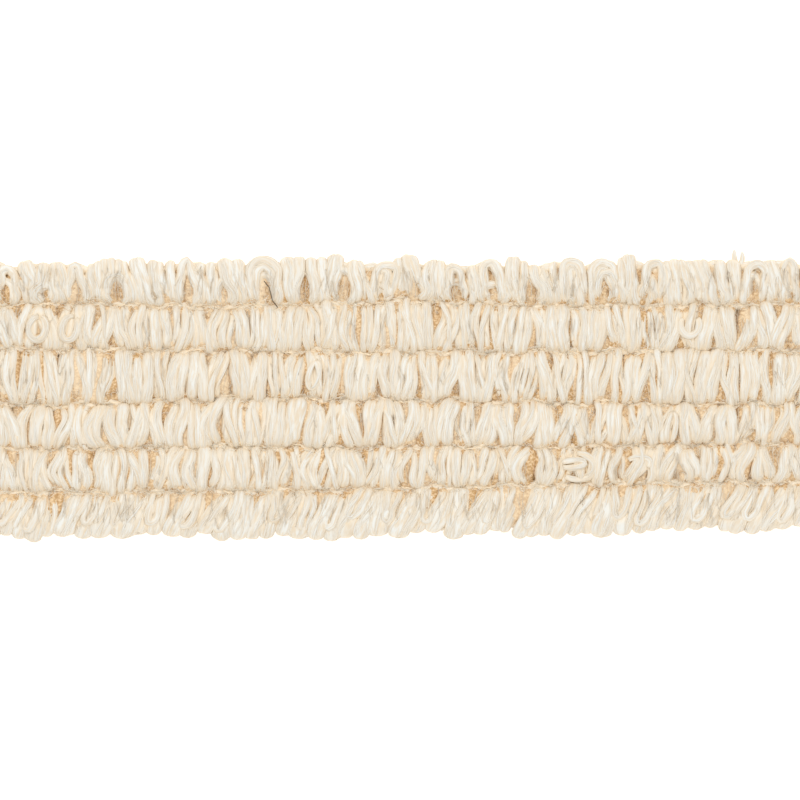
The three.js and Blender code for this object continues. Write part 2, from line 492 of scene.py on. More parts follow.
# The lower turns lie about UNDER_DEPTH below the upper ones and give way to the gaps less. The two
# insets say how far from the cut ends the outer turns stand, and how near to them one may sway.
FINE_STEPS = 49
UNDER_STEPS = 8
UNDER_SPACING = 2.1
UNDER_WIDTH = 3.3
UNDER_DEPTH = 1.0
UNDER_DEPTH_SHARES = (0.8, 1.3)
UNDER_INSETS = (2, 1.5)
UNDER_STRAY = 0.3
UNDER_LEAN = 0.8
UNDER_ASIDE = 0.15
# The lower turns are painted tan, as the shade down where the upper ones part.
UNDER_SHADE_TANS = (0.75, 1.0)


def under_yarns(start, end, crest, feet, droop, aside, rng):
    """The lower layer of a row: turns of yarn, painted tan as shade, that show only where the upper
    ones part.
    """
    u = np.linspace(0, 1, UNDER_STEPS)
    far_end = held_end if droop is None else round_end
    last_turn, furthest = (CUT_END - inset for inset in UNDER_INSETS)
    tubes = []
    for x in np.arange(-last_turn, last_turn, UNDER_SPACING):
        across = x + rng.normal(0, UNDER_STRAY) + rng.normal(0, UNDER_LEAN) * (u - 0.5)
        across = np.clip(across + UNDER_ASIDE * aside(x, u), -furthest, furthest)
        tall = crest - UNDER_DEPTH * rng.uniform(*UNDER_DEPTH_SHARES)
        path, normals = over_row(start(across), end(across), across, u, tall, feet, droop)
        yarn = lay_body(path, normals, UNDER_WIDTH, UNDER_STEPS, far_end, None, rng)
        tubes.append(yarn._replace(tan=np.maximum(yarn.tan, rng.uniform(*UNDER_SHADE_TANS))))
    return tubes + packed_turns(start, end, feet, feet + crest - PACKED_DEPTH)


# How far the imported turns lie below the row's back, and how wide the low and the high roll are as
# shares of the row
PACKED_STEPS = 90
PACKED_INSET = 0.6
PACKED_DEPTH = 1.6
# The packed turns are painted tan, as the shade under the row.
PACKED_SHADE_TAN = 0.8
LOW_SHARE = 1.1
HIGH_SHARE = 0.85


def packed_turns(start, end, feet, top):
    """The turns packed under a row's open ones: a broad low roll on the ground, a little wider
    than the row, and a higher one over it that is narrower, both as long as the tape."""
    x = np.linspace(PACKED_INSET - CUT_END, CUT_END - PACKED_INSET, PACKED_STEPS)
    reach = np.abs(end(x) - start(x)) / 2
    tubes = []
    for share, height in ((LOW_SHARE, feet), (HIGH_SHARE, top)):
        half = np.full_like(x, (height - GROUND_TOP) / 2)
        path = np.stack([x, (start(x) + end(x)) / 2, GROUND_TOP + half], axis=1)
        across, up = level_frame(path)
        tans = np.full_like(x, PACKED_SHADE_TAN)
        tubes.append(Tube(YARN_SIDES, path, across, up, share * reach, half, tans))
    return tubes


# The waves of a yarn that runs along a line: how high, and how long. The others say how much of a
# wave's height goes into the yarn's place, its width and its tan.
ALONG_STEPS = 180
ALONG_FLATNESS = 0.8
ALONG_WAVES = ((0.2, 1.3), (0.15, 0.7))
WAVE_SHIFT = 0.7
WAVE_BULGE = 0.5
WAVE_TAN = 0.6


def along_line(name, off, height, width, tan, rng):
    """A yarn that runs along a long side of a row, off to its upper or lower side. Where it
    waves up it also bulges and shows more tan."""
    x = np.linspace(-CUT_END, CUT_END, ALONG_STEPS)
    waves = sum(
        high * np.sin(x / long + rng.uniform(*WAVE_STARTS)) for high, long in ALONG_WAVES
    )
    shift = WAVE_SHIFT * waves
    path = np.stack([x, line_y(name, x) + off + shift, height + shift], axis=1)
    across, up = level_frame(path)
    half = width / 2 * (1 + WAVE_BULGE * waves)
    tans = tan + WAVE_TAN * waves
    return Tube(YARN_SIDES, path, across, up, half, ALONG_FLATNESS * half, tans)


TURNED_OFF = 0.65
TURNED_HEIGHT = 4.3
TURNED_WIDTH = 1.8
# The turned-back yarn is painted a little tan, as the shade beside the groove.
TURNED_SHADE_TAN = 0.25


def turned_back(name, side, rng):
    """The yarn where it turns back beside a groove and runs along it for a while, painted a little
    tan as the groove's shade.
    """
    return along_line(name, side * TURNED_OFF, TURNED_HEIGHT, TURNED_WIDTH, TURNED_SHADE_TAN, rng)


# The tubes' numbers, from 0 to 1, are stretched so far that no two tubes share their streaks.
NUMBER_STRETCH = 500


def fibre_pattern(material, around, along):
    """Streaks that run along a tube, from 0 to 1, and the tube's own number. around and along
    say how many streaks lie round the tube and how many follow each other in each millimetre."""
    place = add_node(material, "ShaderNodeUVMap")
    place.uv_map = "fibre"
    parts = add_node(material, "ShaderNodeSeparateXYZ", Vector=place.outputs["UV"])
    number = material.node_tree.nodes.new("ShaderNodeAttribute")
    number.attribute_name = "clump"
    scaled = []
    for value, scale in (
        (parts.outputs["X"], around),
        (parts.outputs["Y"], along),
        (number.outputs["Fac"], NUMBER_STRETCH),
    ):
        product = material.node_tree.nodes.new("ShaderNodeMath")
        product.operation = "MULTIPLY"
        material.node_tree.links.new(value, product.inputs[0])
        product.inputs[1].default_value = scale
        scaled.append(product.outputs["Value"])
    vector = add_node(material, "ShaderNodeCombineXYZ", X=scaled[0], Y=scaled[1], Z=scaled[2])
    noise = add_node(
        material,
        "ShaderNodeTexNoise",
        Vector=vector.outputs["Vector"],
        Scale=1.0,
        Detail=3.0,
        Roughness=0.6,
    )
    return noise.outputs["Fac"], number.outputs["Fac"]


def ramp(material, value, low, high):
    """value spread out so that low becomes 0 and high becomes 1."""
    spread = add_node(
        material, "ShaderNodeMapRange", Value=value, From_Min=low, From_Max=high
    )
    return spread.outputs["Result"]


def ivory_yarn():
    """Ivory, tan between the streaks, with painted shade: tan on the flanks and down in the creases
    and gaps.
    """
    material, shader = start_material("ivory_jute_yarn", roughness=0.62)
    shader.inputs["Sheen Weight"].default_value = 0.2
    shader.inputs["Sheen Roughness"].default_value = 0.5
    streaks, number = fibre_pattern(material, around=17.0, along=0.22)
    place = add_node(material, "ShaderNodeTexCoord").outputs["Object"]
    speckle = add_node(
        material, "ShaderNodeTexNoise", Vector=place, Scale=SPECKLES_PER_METRE, Detail=2.0
    ).outputs["Fac"]
    duller = ramp(material, number, low=0.4, high=2.0)
    colour = mix_colours(material, duller, IVORY, IVORY_SHADE)
    between_streaks = ramp(material, streaks, low=0.58, high=0.38)
    colour = mix_colours(material, between_streaks, colour, IVORY_SHADE)
    # Painted shade: faces that turn sideways, away from the light from above, are painted tan.
    facing = add_node(material, "ShaderNodeNewGeometry").outputs["Normal"]
    upwards = add_node(material, "ShaderNodeSeparateXYZ", Vector=facing).outputs["Z"]
    flank_shade_share = ramp(material, upwards, low=0.85, high=0.3)
    colour = mix_colours(material, flank_shade_share, colour, FLANK_SHADE_TAN)
    tan = material.node_tree.nodes.new("ShaderNodeAttribute")
    tan.attribute_name = "tan"
    # Painted shade: the tan attribute paints the creases tan and the deepest places dark speckled
    # tan.
    crease_shade_share = ramp(material, tan.outputs["Fac"], low=0.0, high=DEEPEST_CREASE_SHADE)
    colour = mix_colours(material, crease_shade_share, colour, CREASE_SHADE_TAN)
    speckled = ramp(material, speckle, low=0.4, high=0.65)
    deep_shade_colour = mix_colours(material, speckled, DEEP_SHADE_TAN, DEEP_SHADE_SPECKLE)
    deep_shade_share = ramp(material, tan.outputs["Fac"], low=DEEPEST_CREASE_SHADE, high=0.95)
    colour = mix_colours(material, deep_shade_share, colour, deep_shade_colour)
    material.node_tree.links.new(colour, shader.inputs["Base Color"])
    add_bump(material, shader, streaks, strength=0.5, distance=0.2 * MM)
    return material


IVORY_YARN = ivory_yarn()

# Four middle rows
# The yarn runs zigzag from groove to groove, two to four turns side by side, and bulges up
# between them. Where it turns back at one groove, a small gap opens at the other one.
HELD_HEIGHT = 4.0

# One entry for each row. Crest is how far its middle stands above its held sides, lean how far
# its yarns lean to the right on the whole, and disorder how much they stray, 1 being common.
# Held_above is the X of a place where the yarn is held at the groove above the row, and such a
# place comes again at each pitch. Shift_above says how far those places stray at the five
# PLACES. Gaps_above charts the gaps that open at that groove between them, left to right, by
# how wide they are in half millimetres. The names with below say the same for the other groove.
MIDDLE_ROWS = (
    dict(
        node="loop_row_2", above="groove_1", below="groove_2", crest=2.8, lean=0.2, disorder=1.1,
        held_above=4.0, shift_above=(-0.5, 0.5, 0.0, 1.5, 0.0),
        held_below=-1.3, shift_below=(0.0, 0.5, 0.5, 0.5, 1.0),
        gaps_above="46641153111153111113654",
        gaps_below="24542111221112224686544",
    ),
    dict(
        node="loop_row_3", above="groove_2", below="groove_3", crest=3.0, lean=1.0, disorder=1.1,
        held_above=4.0, shift_above=(-0.3, 0.8, 1.0, 2.8, 2.0),
        held_below=-1.3, shift_below=(0.0, 0.5, 1.0, 1.5, 0.0),
        gaps_above="11111143111141141131131",
        gaps_below="34674395666565366786666",
    ),
    dict(
        node="loop_row_4", above="groove_3", below="groove_4", crest=2.9, lean=1.3, disorder=1.3,
        held_above=3.0, shift_above=(-0.8, 1.2, 3.0, 3.0, 1.2),
        held_below=-2.3, shift_below=(0.0, 1.2, 2.4, 3.6, 1.5),
        gaps_above="68872523145516765469665",
        gaps_below="33444414545552445577665",
    ),
    dict(
        node="loop_row_5", above="groove_4", below="groove_5", crest=2.7, lean=1.0, disorder=1.5,
        held_above=3.1, shift_above=(0.0, 0.0, 0.0, 3.5, 1.0),
        held_below=-2.2, shift_below=(0.0, 1.5, 2.5, 3.0, 1.5),
        gaps_above="45661111413113164146456",
        gaps_below="11111111122213665792545",
    ),
)


# The X and the width of each gap along one side of a row, how far it reaches across the row, and
# where it is widest, as shares of the way across
Gaps = namedtuple("Gaps", "places widths reaches widest")

# A gap reaches across the row by the first share and by the second for each millimetre that it
# is wide, but not beyond the third. GAP_TAPER is the part of its reach over which it narrows.
GAP_REACH = (0.2, 0.13, 0.62)
GAP_TAPER = 0.75


def digits(chart):
    return np.array([int(digit) for digit in chart])


def charted_gaps(held, shift, chart):
    """The gaps of a chart with one digit for each pitch, the middle one near the X held."""
    places = held + PITCH * (np.arange(len(chart)) - len(chart) // 2)
    widths = digits(chart) / 2
    least, growth, most = GAP_REACH
    reaches = np.minimum(least + growth * widths, most)
    return Gaps(places + np.interp(places, PLACES, shift), widths, reaches, 0)


def pushed(x, u, gaps):
    """How far the nearest gap pushes a yarn that passes at x aside. u is 0 at the gap's own
    side of the row and 1 at the other one."""
    nearest = np.abs(gaps.places - x).argmin()
    off = x - gaps.places[nearest]
    push = math.copysign(gaps.widths[nearest] / 2, off) * max(0.0, 1 - 2 * abs(off) / PITCH)
    reach = gaps.reaches[nearest]
    past = np.where(u < gaps.widest, 2 * (gaps.widest - u), u - gaps.widest)
    near = np.clip((reach - past) / (GAP_TAPER * reach), 0, 1)
    return push * near ** 2 * (3 - 2 * near)


# A place where the yarn is held lies at least this far from the two cut ends.
SEAM_INSET = 2


def arms(above, below):
    """The X at which each arm of the zigzag starts and ends, and 1 where it leans to the right
    at its upper end or -1 where it leans to the left."""
    seams = [(x, 1) for x in above.places] + [(x, -1) for x in below.places]
    seams = sorted(seam for seam in seams if abs(seam[0]) < CUT_END - SEAM_INSET)
    seams = [(-CUT_END, -seams[0][1])] + seams + [(CUT_END, 0)]
    return [(first, last, turn) for (first, turn), (last, _) in zip(seams[:-1], seams[1:])]


# The waves in which neighbouring yarns sway: how long each is, and how far it turns on the way
# across the row
SWAYS = ((3.1, 2.2), (5.3, -2.8), (1.9, 3.5))


def swirl(x, u, ways):
    """How far yarns that pass at x sway together on their way across a row."""
    sway = sum(np.sin(x / long + turn * u + way) for way, (long, turn) in zip(ways, SWAYS))
    return sway * np.sin(np.pi * u)


def row_gaps(row):
    """The gaps at the upper and at the lower side of a middle row. A gap opens at one side where
    the yarn is held at the other one."""
    above = charted_gaps(row["held_below"], row["shift_below"], row["gaps_above"])
    below = charted_gaps(row["held_above"], row["shift_above"], row["gaps_below"])
    return above, below


# The turns of an arm lie at one of these spacings and overlap. Arms lean by turns to the right and
# to the left, their yarns give way to the gaps by the gap share, and their side turns lie lower.
MIDDLE_STEPS = 13
YARN_SPACINGS = (1.4, 1.75, 2.6, 3.5)
FEWEST_YARNS = 2
OVERLAP = 1.25
ARM_LEAN = 0.6
GAP_SHARE = 0.85
SWIRL = 0.4
SIDES_LOWER = 0.4

# How much arms and single turns differ from their common lean, bow, height and place, and how far
# off its groove a turn's end lies, on the whole and give or take
ARM_LEAN_SPREAD = 0.6
ARM_BOW_SPREAD = 0.5
TURN_LEAN_SPREAD = 0.7
HEIGHT_SPREAD = 0.2
PLACE_SPREAD = 0.15
END_OFF = (0.3, 0.5)

# The slim turns that cross an arm
CROSSING_CHANCE = 0.25
CROSSING_LIFT = 0.6
CROSSING_LEAN = (1.5, 4)
CROSSING_PLACE = (0.3, 0.7)
CROSSING_WIDTH = (1.2, 2.2)


def middle_row(number_of_row, row, rng):
    """The yarns of a middle row. Between two held places lies an arm of the zigzag, a few turns
    side by side, and now and then a slim turn crosses over it."""
    u = np.linspace(0, 1, FINE_STEPS)
    above, below = row_gaps(row)
    ways = rng.uniform(*WAVE_STARTS, len(SWAYS))
    stray = row["disorder"]
    tubes = []

    def start(x):
        return line_y(row["below"], x)

    def end(x):
        return line_y(row["above"], x)

    def aside(x, u):
        gaps = pushed(x, 1 - u, above) + pushed(x, u, below)
        return GAP_SHARE * gaps + SWIRL * stray * swirl(x, u, ways)

    def turn_of_yarn(x, width, lean, bow, lift):
        line = x + aside(x, u) + lean * (u - 0.5) + bow * np.sin(np.pi * u)
        line = np.clip(line, -CUT_END + width / 2, CUT_END - width / 2)
        low, high = rng.normal(*END_OFF, 2)
        path, normals = over_row(
            start(line) + low, end(line) - high, line, u, row["crest"] + lift, HELD_HEIGHT, None
        )
        return lay_yarn(path, normals, width, MIDDLE_STEPS, held_end, None, rng)

    for first, last, turn in arms(above, below):
        span = last - first
        count = max(FEWEST_YARNS, round(span / rng.choice(YARN_SPACINGS)))
        lean = row["lean"] + turn * ARM_LEAN + rng.normal(0, ARM_LEAN_SPREAD * stray)
        bow = rng.normal(0, ARM_BOW_SPREAD * stray)
        tall = rng.normal(0, HEIGHT_SPREAD)
        for number in range(count):
            middle = (number + 0.5) / count
            x = first + span * middle + rng.normal(0, PLACE_SPREAD)
            width = OVERLAP * span / count
            lift = tall + rng.normal(0, HEIGHT_SPREAD) - SIDES_LOWER * abs(2 * middle - 1) ** 2
            turned = lean + rng.normal(0, TURN_LEAN_SPREAD * stray)
            tubes += turn_of_yarn(x, width, turned, bow, lift)
        if rng.random() < CROSSING_CHANCE * stray:
            lean = rng.choice((-1, 1)) * rng.uniform(*CROSSING_LEAN)
            x = first + span * rng.uniform(*CROSSING_PLACE)
            width = rng.uniform(*CROSSING_WIDTH)
            tubes += turn_of_yarn(x, width, lean, bow, tall + CROSSING_LIFT)
    tubes += under_yarns(start, end, row["crest"], HELD_HEIGHT, None, aside, rng)
    tubes.append(turned_back(row["below"], 1, rng))
    tubes.append(turned_back(row["above"], -1, rng))
    for curl in CURLS:
        if curl.row == number_of_row:
            tubes += curled_turn(curl, start, end, row["crest"], rng)
    return lay_tubes(row["node"], tubes)


# Here and there a turn has curled over and lies as a ring or a hook on its row. One line for
# each: the row's number, the place and half size of the curl, how far it leans to the right,
# the part of a full turn at which it starts and ends, counted clockwise from the top, and the
# yarn's width.
Curl = namedtuple("Curl", "row x y half_width half_height lean start end width")
CURLS = (
    Curl(2, -101.9, 19.4, 2.4, 3.2, 0.3, 0.05, 1.0, 2.1),
    Curl(2, -92.9, 19.4, 2.3, 3.3, 0.5, 0.10, 1.05, 2.1),
    Curl(2, 81.6, 20.3, 2.6, 3.0, 0.0, 0.15, 0.85, 2.0),
    Curl(3, -24.2, 6.2, 1.5, 3.9, 0.8, 0.0, 1.0, 1.6),
    Curl(4, 76.3, -8.5, 1.2, 4.2, 0.6, 0.0, 1.0, 1.7),
    Curl(5, 49.8, -19.6, 4.6, 3.6, 0.0, 0.0, 0.62, 2.1),
    Curl(5, 48.6, -18.8, 3.4, 1.1, 0.9, -0.2, 0.6, 1.8),
    Curl(5, 66.5, -19.0, 3.6, 2.2, 1.2, -0.15, 0.3, 1.9),
)
CURL_STEPS = 22
CURL_LIFT = 0.7


def curled_turn(curl, start, end, crest, rng):
    """The yarn of one curl, which lies on the back of the row between start and end."""
    turn = 2 * math.pi * np.linspace(curl.start, curl.end, FINE_STEPS)
    up = curl.half_height * np.cos(turn)
    x = curl.x + curl.half_width * np.sin(turn) + curl.lean * up / curl.half_height
    u = (curl.y + up - start(x)) / (end(x) - start(x))
    path, _ = over_row(start(x), end(x), x, u, crest + CURL_LIFT, HELD_HEIGHT, None)
    normals = np.tile([0.0, 0.0, 1.0], (len(path), 1))
    return lay_yarn(path, normals, curl.width, CURL_STEPS, held_end, None, rng)


for number, row in enumerate(MIDDLE_ROWS, start=2):
    mesh = middle_row(number, row, np.random.default_rng(number))
    finish_piece(f"looped_row_{number}", mesh, IVORY_YARN, "loops", row["node"])

# Top row of open loops
# Along the top edge the yarn stands in round-headed loops. Each turn comes out of the first
# groove, runs round a hole that shows the tan ground, and goes back in.
EDGE_ROW_WIDTH = 12.4
EDGE_CREST = 2.9
EDGE_HEIGHT = 3.7
OVER_THE_EDGE = 0.85
HEAD_DROOP = 0.42

# The holes from left to right: how wide they are in half millimetres, and how far their heads lie
# from the groove in millimetres. HOLE_WIDEST is the share of the way across the row at which
# they are widest.
HOLE_WIDTHS = "78995966794676827544545"
HOLE_HEIGHTS = "65773867883554718474734"
HOLE_HELD = 5.1
HOLE_SHIFT = (-0.5, -0.8, 0.0, 0.3, -0.6)
HOLE_WIDEST = 0.22
HOLE_MARGIN = 0.1

# The loops along the edge from left to right: how wide each is in millimetres, and how far it
# reaches out beyond HEAD_REACH in half millimetres.
HEAD_REACH = 11.3
LOOP_WIDTHS = (
    6, 6, 6, 5, 4, 4.5, 5, 13, 5, 5, 2.5, 5, 3.5, 3, 4, 4, 10, 4, 3, 3, 3, 5, 6, 8, 7.5, 7, 6, 3.5,
    7, 4.5, 2.5, 5.5, 2.5, 8, 8.5, 6, 7, 14.5, 3.5, 3.5, 7, 5, 5, 6, 6,
)
LOOP_REACHES = "221312234334113444455533531035211445432333323"

# How far off the groove a turn's foot lies, on the whole and give or take, how far the turn sways
# and how often, and the share of the way up at which it stands over its place. Its head then lies
# off that place by the rest of its lean.
FOOT_OFF = (0.5, 0.4)
EDGE_SWAY = 0.35
EDGE_SWAY_TURNS = (3, 7)
STANDS_AT = 0.3
HEAD_SHIFT = 1 - STANDS_AT
STANDING_STEPS = 14


def standing_turn(groove, edge, x, lean, reach, width, gaps, crest, rng):
    """One turn of yarn that stands across an edge row and goes down over the edge."""
    u = np.linspace(0, 1, FINE_STEPS)
    across = x + pushed(x, u, gaps) + lean * (u - STANDS_AT)
    across = across + EDGE_SWAY * np.sin(rng.uniform(*EDGE_SWAY_TURNS) * u)
    across = np.clip(across, -CUT_END + width / 2, CUT_END - width / 2)
    outwards = math.copysign(1, edge(0) - groove(0))
    start = groove(across) + outwards * rng.normal(*FOOT_OFF)
    end = edge(across) + outwards * reach
    path, normals = over_row(start, end, across, u, crest, EDGE_HEIGHT, OVER_THE_EDGE)
    return lay_yarn(path, normals, width, STANDING_STEPS, round_end, "end", rng)


# An arch has a square head where its legs stand far apart and a round one where they stand close.
# The stitches draw its feet together, to FOOT_SHARE of that distance.
ARCH_STEPS = 20
ARCH_INSET = 1
SLIM_LEG = 0.8
BROAD_LEG = 3.8
SLIM_RISE = 0.55
BROAD_RISE = 0.45
BROAD_HEAD = 0.75
FOOT_SHARE = 0.75
FOOT_WIDENING = 1.6
ARCH_SWAY = 0.2
ARCH_TILT = 0.5
FOOT_CLIMB = 0.9


def arched_turn(groove, edge, centre, leg, reach, slant, crest, width, gaps, rng):
    """One turn of yarn that lies in an arch: up one leg, round its head and down the other."""
    turn = np.linspace(0, math.pi, FINE_STEPS)
    broad = np.clip((leg - SLIM_LEG) / (BROAD_LEG - SLIM_LEG), 0, 1)
    u = reach / EDGE_ROW_WIDTH * np.sin(turn) ** (SLIM_RISE - (SLIM_RISE - BROAD_RISE) * broad)
    drawn_in = FOOT_SHARE + (1 - FOOT_SHARE) * np.clip(FOOT_WIDENING * np.sin(turn), 0, 1)
    aside = leg * drawn_in * np.abs(np.cos(turn)) ** (1 - (1 - BROAD_HEAD) * broad)
    across = centre - np.sign(np.cos(turn)) * aside
    across = across + slant * u + ARCH_SWAY * np.sin(rng.uniform(*EDGE_SWAY_TURNS) * turn)
    left, right = (pushed(centre + side * leg, u, gaps) for side in (-1, 1))
    across = across + np.where(turn < math.pi / 2, left, right)
    across = np.clip(across, -CUT_END + ARCH_INSET, CUT_END - ARCH_INSET)
    outwards = math.copysign(1, edge(0) - groove(0))
    start = groove(across) + outwards * rng.normal(*FOOT_OFF)
    path, _ = over_row(start, edge(across), across, u, crest, EDGE_HEIGHT, HEAD_DROOP)
    path[:, 2] += rng.normal(0, ARCH_TILT) * np.cos(turn) * np.sin(turn)
    # The surface that the arch lies on falls towards the edge and climbs out of the groove.
    droop = HEAD_DROOP * 6 * crest * np.clip(2 * u - 1, 0, 1) ** 2 / EDGE_ROW_WIDTH
    climb = -FOOT_CLIMB * np.clip(1 - 4 * u, 0, 1)
    slope = outwards * (droop + climb)
    normals = unit(np.stack([np.zeros_like(u), slope, np.ones_like(u)], axis=1))
    return lay_yarn(path, normals, width, ARCH_STEPS, held_end, "middle", rng)


# One turn has been cut at the edge, and its two ends stick out as a small pointed tuft.
TUFT_FOOT = (95.2, 36.0, 5.0)
TUFT_TIPS = ((94.3, 41.6, 3.6), (96.4, 41.0, 3.6))
TUFT_HALF_WIDTH = 0.85
TUFT_BEND = 0.5
TUFT_BLUNTNESS = 1.01


def cut_end(tip):
    """A short end of yarn that bends out from the tuft's foot and tapers to its tip."""
    share = np.linspace(0, 1, STANDING_STEPS)
    foot = np.array(TUFT_FOOT)
    tip = np.array(tip)
    path = foot + (tip - foot) * share[:, None]
    path[:, 0] += TUFT_BEND * (tip[0] - foot[0]) * np.sin(np.pi * share)
    across, up = level_frame(path)
    half = TUFT_HALF_WIDTH * np.sqrt(TUFT_BLUNTNESS - share ** 3)
    return Tube(YARN_SIDES, path, across, up, half, ALONG_FLATNESS * half, 0 * half)


# A ring of yarn lies round each hole, a little wider and higher than the hole and lower than the
# loops, and a turn stands on each side of it.
RING_OUT = 0.5
RING_UP = 1.2
RING_DOWN = 0.5
RING_WIDTH = 2.4
RING_LEAN = 0.6
RING_CREST = (-0.2, 0.3)
BESIDE_OFF = (1.2, 2.8)
BESIDE_LEAN = (-1.5, 2.5)
BESIDE_SHORT = (2.4, 4)
BESIDE_WIDTH = (1.8, 2.6)
BESIDE_DOWN = 0.2


def round_the_hole(groove, edge, hole, gaps, rng):
    """The turns of yarn round one hole: hole is its X, its width and its height."""
    centre, width, height = hole
    crest = EDGE_CREST + rng.uniform(*RING_CREST)
    tubes = arched_turn(
        groove, edge, centre, width / 2 + RING_OUT, height + RING_UP, rng.normal(0, RING_LEAN),
        crest - RING_DOWN, RING_WIDTH, gaps, rng,
    )
    for side in (-1, 1):
        x = centre + side * (width / 2 + rng.uniform(*BESIDE_OFF))
        lean = side * rng.uniform(*BESIDE_LEAN)
        short = rng.uniform(*BESIDE_SHORT)
        wide = rng.uniform(*BESIDE_WIDTH)
        tubes += standing_turn(
            groove, edge, x, lean, -short, wide, gaps, crest - BESIDE_DOWN, rng
        )
    return tubes


# A loop narrower than the first size is a single turn. A broader one is a nest of arches where a
# hole lies near its middle, and else, or where it is broader than the second size, a fan of
# turns that stand side by side and lean towards its middle.
NARROWEST_ARCH = 4.3
WIDEST_ARCH = 11
HOLE_WITHIN = 0.3
LOOP_LEAN = 1.2
LOOP_CREST = (-0.3, 0.3)
SINGLE_OVERLAP = 1.1
FAN_SPACING = 2.3
FAN_LEAN = -1.8
FAN_LEAN_SHARE = 1.5
FAN_SHIFT = 0.5
FAN_ROUNDNESS = 0.9
ARCH_OVERLAP = 1.2
ARCH_YARN = (2.4, 3.0)
NESTED = 2.2
NESTED_SHARE = (0.75, 0.9)
NESTED_DOWN = 0.1
NESTED_STRAY = 0.3
NESTED_LEAN = 0.5
SMALLEST_LEG = 0.8


def fan_of_turns(groove, edge, middle, width, lean, furthest, gaps, crest, rng):
    """A broad loop of turns that stand side by side. The middle one reaches furthest."""
    count = round(width / FAN_SPACING)
    tubes = []
    for turn in range(count):
        place = 2 * (turn + 0.5) / count - 1
        x = middle + place * width / 2 - FAN_SHIFT * lean
        turned = FAN_LEAN_SHARE * lean + FAN_LEAN * place
        reach = furthest - FAN_ROUNDNESS * place ** 2 - EDGE_ROW_WIDTH
        tubes += standing_turn(
            groove, edge, x, turned, reach, OVERLAP * width / count, gaps,
            crest + rng.uniform(*LOOP_CREST), rng,
        )
    return tubes


def nest_of_arches(groove, edge, middle, width, lean, furthest, gaps, crest, rng):
    """A broad loop of arches, one inside the other and each a little lower than the last."""
    yarn = rng.uniform(*ARCH_YARN)
    leg = (ARCH_OVERLAP * width - yarn) / 2
    reach = furthest - yarn / 2
    tubes = []
    while leg > SMALLEST_LEG:
        tubes += arched_turn(groove, edge, middle, leg, reach, lean, crest, yarn, gaps, rng)
        middle += rng.normal(0, NESTED_STRAY)
        lean += rng.normal(0, NESTED_LEAN)
        leg -= NESTED
        reach -= NESTED * rng.uniform(*NESTED_SHARE)
        crest -= NESTED_DOWN
    return tubes


def heads_along(widths, reaches):
    """Where each head along an edge starts and ends, and how far it reaches out, left to right."""
    valleys = np.cumsum((-LENGTH / 2, *widths))
    return zip(valleys[:-1], valleys[1:], digits(reaches) / 2)


# The yarn that runs along the edge under the loops' heads
UNDER_THE_HEADS = 2.2
HEADS_YARN_HEIGHT = 4.6
HEADS_YARN_WIDTH = 2.8


def top_row(rng):
    """The yarns of the top row: those round the holes, the loops along the edge and those under
    them, and the tuft."""

    def groove(x):
        return line_y("groove_1", x)

    def edge(x):
        return line_y("top_edge", x)

    def under_edge(x):
        return edge(x) - UNDER_THE_HEADS

    def aside(x, u):
        return pushed(x, u, gaps)

    holes = charted_gaps(HOLE_HELD, HOLE_SHIFT, HOLE_WIDTHS)
    heights = digits(HOLE_HEIGHTS)
    reaches = heights / EDGE_ROW_WIDTH + HOLE_MARGIN - HOLE_WIDEST
    reaches = np.maximum(reaches, HOLE_MARGIN)
    gaps = holes._replace(reaches=reaches, widest=HOLE_WIDEST)
    tubes = []
    for hole in zip(holes.places, holes.widths, heights):
        tubes += round_the_hole(groove, edge, hole, gaps, rng)
    for first, last, reach in heads_along(LOOP_WIDTHS, LOOP_REACHES):
        middle = (first + last) / 2
        width = last - first
        crest = EDGE_CREST + rng.uniform(*LOOP_CREST)
        furthest = HEAD_REACH + reach
        lean = rng.normal(0, LOOP_LEAN)
        no_hole_near = min(abs(holes.places - middle)) > HOLE_WITHIN * width
        if width < NARROWEST_ARCH:
            tubes += standing_turn(
                groove, edge, middle - HEAD_SHIFT * lean, lean, furthest - EDGE_ROW_WIDTH,
                SINGLE_OVERLAP * width, gaps, crest, rng,
            )
        else:
            broad_loop = fan_of_turns if no_hole_near or width > WIDEST_ARCH else nest_of_arches
            tubes += broad_loop(groove, edge, middle, width, lean, furthest, gaps, crest, rng)
    tubes += under_yarns(groove, under_edge, EDGE_CREST, EDGE_HEIGHT, OVER_THE_EDGE, aside, rng)
    tubes.append(turned_back("groove_1", 1, rng))
    tubes.append(
        along_line("top_edge", -UNDER_THE_HEADS, HEADS_YARN_HEIGHT, HEADS_YARN_WIDTH, 0, rng)
    )
    return tubes + [cut_end(tip) for tip in TUFT_TIPS]


mesh = lay_tubes("loop_row_1", top_row(np.random.default_rng(1)))
finish_piece("looped_row_1", mesh, IVORY_YARN, "loops", "loop_row_1")

# Bottom row of slanted loops
# Along the bottom edge the turns are combed over: each runs down to the left from the fifth
# groove and turns in a round end beyond the ground tape, one to four of them to a broad head.
SLIT_HELD = -1.3
SLIT_SHIFT = (0.0, 0.0, 0.0, -0.6, -0.3)
SLITS = "44426262524564426544726"

# The heads from left to right: how wide each is in millimetres, and how far it reaches out
# beyond the edge line in half millimetres.
HEAD_WIDTHS = (
    8, 7.5, 12, 15, 6.5, 8.5, 14, 9.5, 12, 6, 8, 8, 6.5, 5.5, 9.5, 5, 4, 8, 3, 7, 4, 7.5, 4, 11,
    7.5, 16.5, 7, 9, 9.5, 10.5,
)
HEAD_REACHES = "224341243244121311132413203201"

